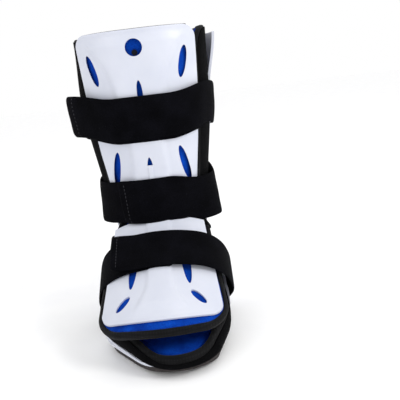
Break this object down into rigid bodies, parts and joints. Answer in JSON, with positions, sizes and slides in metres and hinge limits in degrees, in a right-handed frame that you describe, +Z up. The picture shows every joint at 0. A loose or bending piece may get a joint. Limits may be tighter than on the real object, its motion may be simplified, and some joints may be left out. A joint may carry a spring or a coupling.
{
  "type": "ankle foot orthosis boot",
  "caption": "Rigid open-toe ankle and foot support boot with padded shin and instep panels and wide wrap straps.",
  "frame": {"origin": "on the floor under the ankle, in the middle plane of the leg", "axes": "+Z up the leg, -Y towards the toes, +X to the big-toe side"},
  "size_m": [0.16, 0.27, 0.326],
  "materials": {
    "white_plastic": "smooth moulded polypropylene",
    "blue_lining": "brushed loop fabric on foam",
    "black_lining": "brushed loop fabric on foam",
    "binding": "sewn woven edge tape",
    "loop_fabric": "plush loop webbing",
    "hook_tape": "fine moulded hooks",
    "dark_plastic": "moulded snap stud",
    "steel": "plain",
    "outsole_rubber": "matte moulded tread"
  },
  "bodies": {
    "root": {"outsole": "outsole_rubber", "sole_screws": "steel", "sole_nuts": "steel", "rear_shell": "white_plastic", "insole_pad": "blue_lining", "foot_liner": "black_lining", "foot_liner_binding": "binding", "calf_liner": "blue_lining", "calf_liner_binding": "binding", "liner_hook_dots": "hook_tape", "calf_under_strap": "loop_fabric", "calf_strap_tab": "loop_fabric", "ankle_under_strap": "loop_fabric", "ankle_strap_tab": "loop_fabric", "instep_under_strap": "loop_fabric", "instep_strap_tab": "loop_fabric", "strap_rivets_left": "steel", "strap_rivets_right": "steel", "rivet_washers": "steel"},
    "shin_front": {"shin_panel": "white_plastic", "shin_pad": "blue_lining", "shin_pad_binding": "binding", "shin_pad_stud": "dark_plastic"},
    "instep_front": {"instep_panel": "white_plastic", "instep_pad": "blue_lining", "instep_pad_binding": "binding"},
    "calf_band": {"calf_strap": "loop_fabric", "calf_strap_hook": "hook_tape"},
    "ankle_band": {"ankle_strap": "loop_fabric", "ankle_strap_hook": "hook_tape"},
    "instep_band": {"instep_strap": "loop_fabric", "instep_strap_hook": "hook_tape"}
  },
  "joints": [
    {"name": "shin_panel_slide", "type": "slide", "parent": "root", "child": "shin_front", "axis": [0, 0, 1], "range_m": [0, 0.04]},
    {"name": "instep_panel_slide", "type": "slide", "parent": "root", "child": "instep_front", "axis": [0, -0.8757, -0.4829], "range_m": [0, 0.012]},
    {"name": "calf_strap_swing", "type": "hinge", "parent": "root", "child": "calf_band", "pos_m": [0.0817, 0.01185, 0.236], "axis": [0, 0, 1], "range_deg": [0, 100]},
    {"name": "ankle_strap_swing", "type": "hinge", "parent": "root", "child": "ankle_band", "pos_m": [0.0701, 0.01185, 0.143], "axis": [0, 0, 1], "range_deg": [0, 100]},
    {"name": "instep_strap_swing", "type": "hinge", "parent": "root", "child": "instep_band", "pos_m": [0.0742, -0.0625, 0.041], "axis": [0, 0.8757, 0.4829], "range_deg": [0, 110]}
  ]
}
